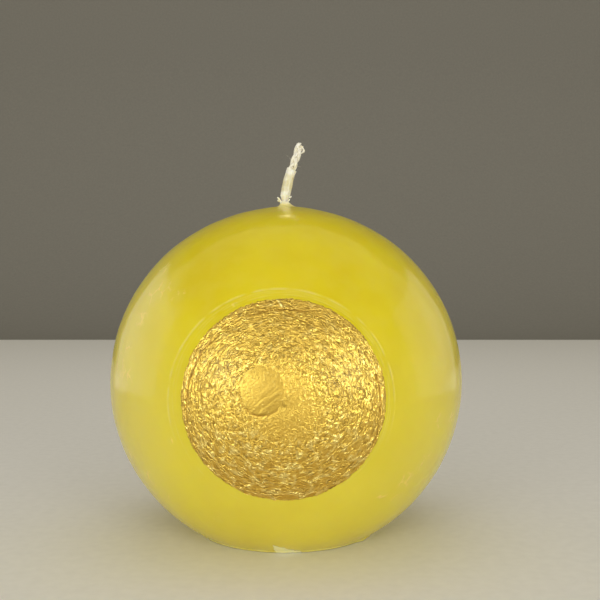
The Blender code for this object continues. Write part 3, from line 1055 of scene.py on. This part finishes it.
def tinned_steel():
    """Thin tinned steel, stamped: a soft grey shine with fine rolling lines and dull spots."""
    material, tree, shader, where = new_material("tinned_steel", {"Metallic": 1.0})
    rolled = add(tree, "Mapping", {"Vector": where, "Scale": (0.06, 1.0, 1.0)})
    lines = patches(tree, rolled, 0.25, 3.0)
    spots = patches(tree, where, 2.5, 4.0, 0.45, 0.7)
    dull = add(tree, "MapRange", (lines, 0.3, 0.7, 0.24, 0.38))
    dull = add(tree, "Math", (spots, 0.12, dull), operation="MULTIPLY_ADD")
    fill_shader(tree, shader, colour("#b9bbbd"), [
        (lines, 1.0, "#d3d4d5"), (spots, 0.4, "#9da0a2"),
    ], dull, [(lines, 0.01)])
    return material


def stage_paper(name, first, second):
    """Matt studio paper with a faint cloud of fibres."""
    material, tree, shader, where = new_material(name, {"Specular IOR Level": 0.05})
    fill_shader(tree, shader, colour(first), [
        (patches(tree, where, 3.0, 4.0, 0.3, 0.7), 1.0, second),
    ], patches(tree, where, 8.0, 2.0, 0.3, 0.7, 0.76, 0.84), [])
    return material


def dress(piece, material, slot, *nodes):
    """Gives a piece its material, puts it under the root body, and hides the CAD nodes it stands for.
    """
    piece.data.materials.clear()
    piece.data.materials.append(material)
    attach(piece, "root")
    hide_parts(*nodes)


# Patches of frost on the coat: middle right and up, and radius, in degrees
FROST = [
    (40, -29, 3.0), (48, -25, 3.5), (38, -37, 2.5), (31, -32, 2.0), (53, -10, 2.5),
    (62, -10, 2.5), (-61, 9, 4.5), (-54, 5, 3.5), (-45, 35, 4.5), (-50, 26, 3.0),
    (-37, 37, 2.5), (-46, 46, 3.0), (-55, 16, 2.5), (-34, 32, 2.5), (-56, -25, 3.0),
    (-47, -31, 3.0), (-42, -36, 2.5), (-14, 28, 0.8), (-34, -13, 1.2), (-21, -41, 1.5),
    (120, 30, 5.0), (100, -60, 4.0), (-120, 40, 5.0), (-95, -70, 4.0), (60, 110, 5.0),
]


def frost_at(point):
    u, v = flat_place(point)
    frost = 0.0
    for right, up, radius in FROST:
        away = math.hypot(u - right, v - up) / radius
        frost = max(frost, 1 - ease(away, 0.55, 1.35))
    return frost


def dress_all(coat, disc, dab, strands, sleeve, bead):
    paint(coat, "frost", frost_at)
    paint(coat, "scored", lambda co: scored_lines(*flat_place(co))[1])
    dress(coat, dyed_paraffin(), "yellow_wax", "colour_coat")
    stippled = bronze_paint(
        "stippled_bronze_paint", 0.34, 0.10, 0.30, 0.42, "#deb24a", "#f4d880")
    dress(disc, stippled, "gold_paint", "gold_disc")
    # The dab is the same bronze paint, smoother; its darker tones are painted shade that dims the
    # lamps' reflection on it.
    smoothed = bronze_paint(
        "smooth_bronze_paint", 0.05, 0.09, 0.40, 0.50, "#c49c3e", "#c8a046")
    dress(dab, smoothed, "gold_paint", "gold_dab")
    cotton = wick_cotton()
    for strand, node in zip(strands, STRAND_NAMES):
        dress(strand, cotton, "wick_cotton", node)
    wax = priming_wax()

    def cloudy(co):
        over = (co.z - BALL_TOP) / MM
        return ease(over, 4.2, 5.0) * (1 - ease(over, 8.5, 10.2))

    def dyed(co):
        return 1 - ease((co.z - BALL_TOP) / MM, 0.4, 2.0)

    for piece in (sleeve, bead):
        paint(piece, "cloudy", cloudy)
        paint(piece, "dyed", dyed)
    dress(sleeve, wax, "priming_wax", "wick_priming_wax")
    dress(bead, wax, "priming_wax", "wick_bead")
    pale = pale_paraffin()
    for node, material in (("wax_core", pale), ("base_plug", pale), ("wick_tab", tinned_steel())):
        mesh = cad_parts[node].data
        mesh.materials.clear()
        mesh.materials.append(material)


# ---- Floor, light and camera ----

def make_stage():
    """A pale paper sweep: the floor, curving up into the backdrop."""
    deselect()
    bpy.ops.mesh.primitive_plane_add(size=1, location=(0, 0, 0))
    sweep = added("paper_sweep")
    half, front, back, bend = 1.6, -1.4, 0.75, 0.45
    for vertex in sweep.data.vertices:
        vertex.co.x = half if vertex.co.x > 0 else -half
        vertex.co.y = back if vertex.co.y > 0 else front
        vertex.co.z = -0.02 * MM
    edit(sweep)
    steps = 24
    for i in range(steps):
        pick(sweep, "edges", lambda e: min(v.co.y for v in e.verts) > back - 1e-4
             and abs(e.verts[0].co.z - e.verts[1].co.z) < 1e-6
             and min(v.co.z for v in e.verts) > max(v.co.z for v in
                 bmesh.from_edit_mesh(sweep.data).verts) - 1e-6)
        first = math.pi / 2 * i / steps
        second = math.pi / 2 * (i + 1) / steps
        extrude((0, bend * (math.sin(second) - math.sin(first)),
                 bend * (math.cos(first) - math.cos(second))))
    extrude((0, 0, 1.4))
    leave()
    smooth(sweep, 60)
    sweep.data.materials.append(stage_paper("pale_paper", "#e9e7e3", "#eeece8"))
    sweep.data.materials.append(stage_paper("grey_paper", "#8e8b85", "#949189"))
    for face in sweep.data.polygons:
        face.material_index = 1 if face.center.y > back else 0


def add_lamp(name, place, target, size, watts, lights="all", tint="#ffffff"):
    """A flat soft light of this width and height that faces the target. It can be made to
    show only as a reflection, or only to light surfaces evenly."""
    deselect()
    bpy.ops.object.light_add(type="AREA", location=place)
    lamp = bpy.context.object
    lamp.name = lamp.data.name = name
    lamp.data.shape = "RECTANGLE"
    lamp.data.size, lamp.data.size_y = size
    lamp.data.energy = watts
    lamp.data.color = colour(tint)[:3]
    lamp.visible_diffuse = lights != "reflections"
    lamp.visible_glossy = lights != "surfaces"
    lamp.rotation_euler = (Vector(target) - Vector(place)).to_track_quat("-Z", "Y").to_euler()
    return lamp


def make_lights():
    world = bpy.data.worlds.new("studio")
    bpy.context.scene.world = world
    world.use_nodes = True
    background = world.node_tree.nodes["Background"]
    background.inputs["Color"].default_value = colour("#f5efdd")
    background.inputs["Strength"].default_value = 0.54
    middle = CENTRE
    level = (0.0, 0.0, 0.06)
    for side, name in ((-1, "left"), (1, "right")):
        add_lamp("panel_" + name, (side * 0.278, 0.088, 0.115), level, (0.29, 0.23),
                 0.130 if side < 0 else 0.090, "reflections")
        add_lamp("front_" + name, (side * 0.38, -0.52, 0.13), middle, (0.14, 0.14), 2.3,
                 "reflections", "#dcf2ff")
        add_lamp("wash_" + name, (side * 0.62, -0.83, 0.16), middle, (0.4, 0.14), 2.4,
                 "surfaces")
    add_lamp("wash_top", (0.0, 0.15, 0.80), middle, (0.6, 0.6), 0.7, "surfaces")
    add_lamp("front_fill", (0.0, -1.1, 0.45), middle, (1.0, 0.8), 1.5)
    add_lamp("back_spot", (-0.0065, 0.50, 0.537), (0, 0, BALL_TOP), (0.036, 0.010), 0.022,
             tint="#fff0b8")


CAMERA_TURN = math.radians(0.95)
CAMERA_RISE = math.radians(6.7)
CAMERA_DISTANCE = 250 * MM
CAMERA_TILT = math.radians(90 - 1.479)
CAMERA_PAN = math.radians(0.0486)
CAMERA_LENS = 51.48


def make_camera():
    level = CAMERA_DISTANCE * math.cos(CAMERA_RISE)
    place = CENTRE + Vector((level * math.sin(CAMERA_TURN), -level * math.cos(CAMERA_TURN),
                             CAMERA_DISTANCE * math.sin(CAMERA_RISE)))
    bpy.ops.object.camera_add(location=place, rotation=(CAMERA_TILT, 0, CAMERA_PAN))
    camera = bpy.context.object
    camera.data.lens = CAMERA_LENS
    camera.data.clip_start = 0.01
    bpy.context.scene.camera = camera


def main():
    coat = make_coat()
    disc, dab = part_dab(make_gold())
    strands = [make_strand(number) for number in range(len(STRAND_NAMES))]
    sleeve = make_sleeve()
    bead = make_bead()
    dress_all(coat, disc, dab, strands, sleeve, bead)
    make_stage()
    make_lights()
    make_camera()
    bpy.context.scene.view_settings.view_transform = "Standard"


main()
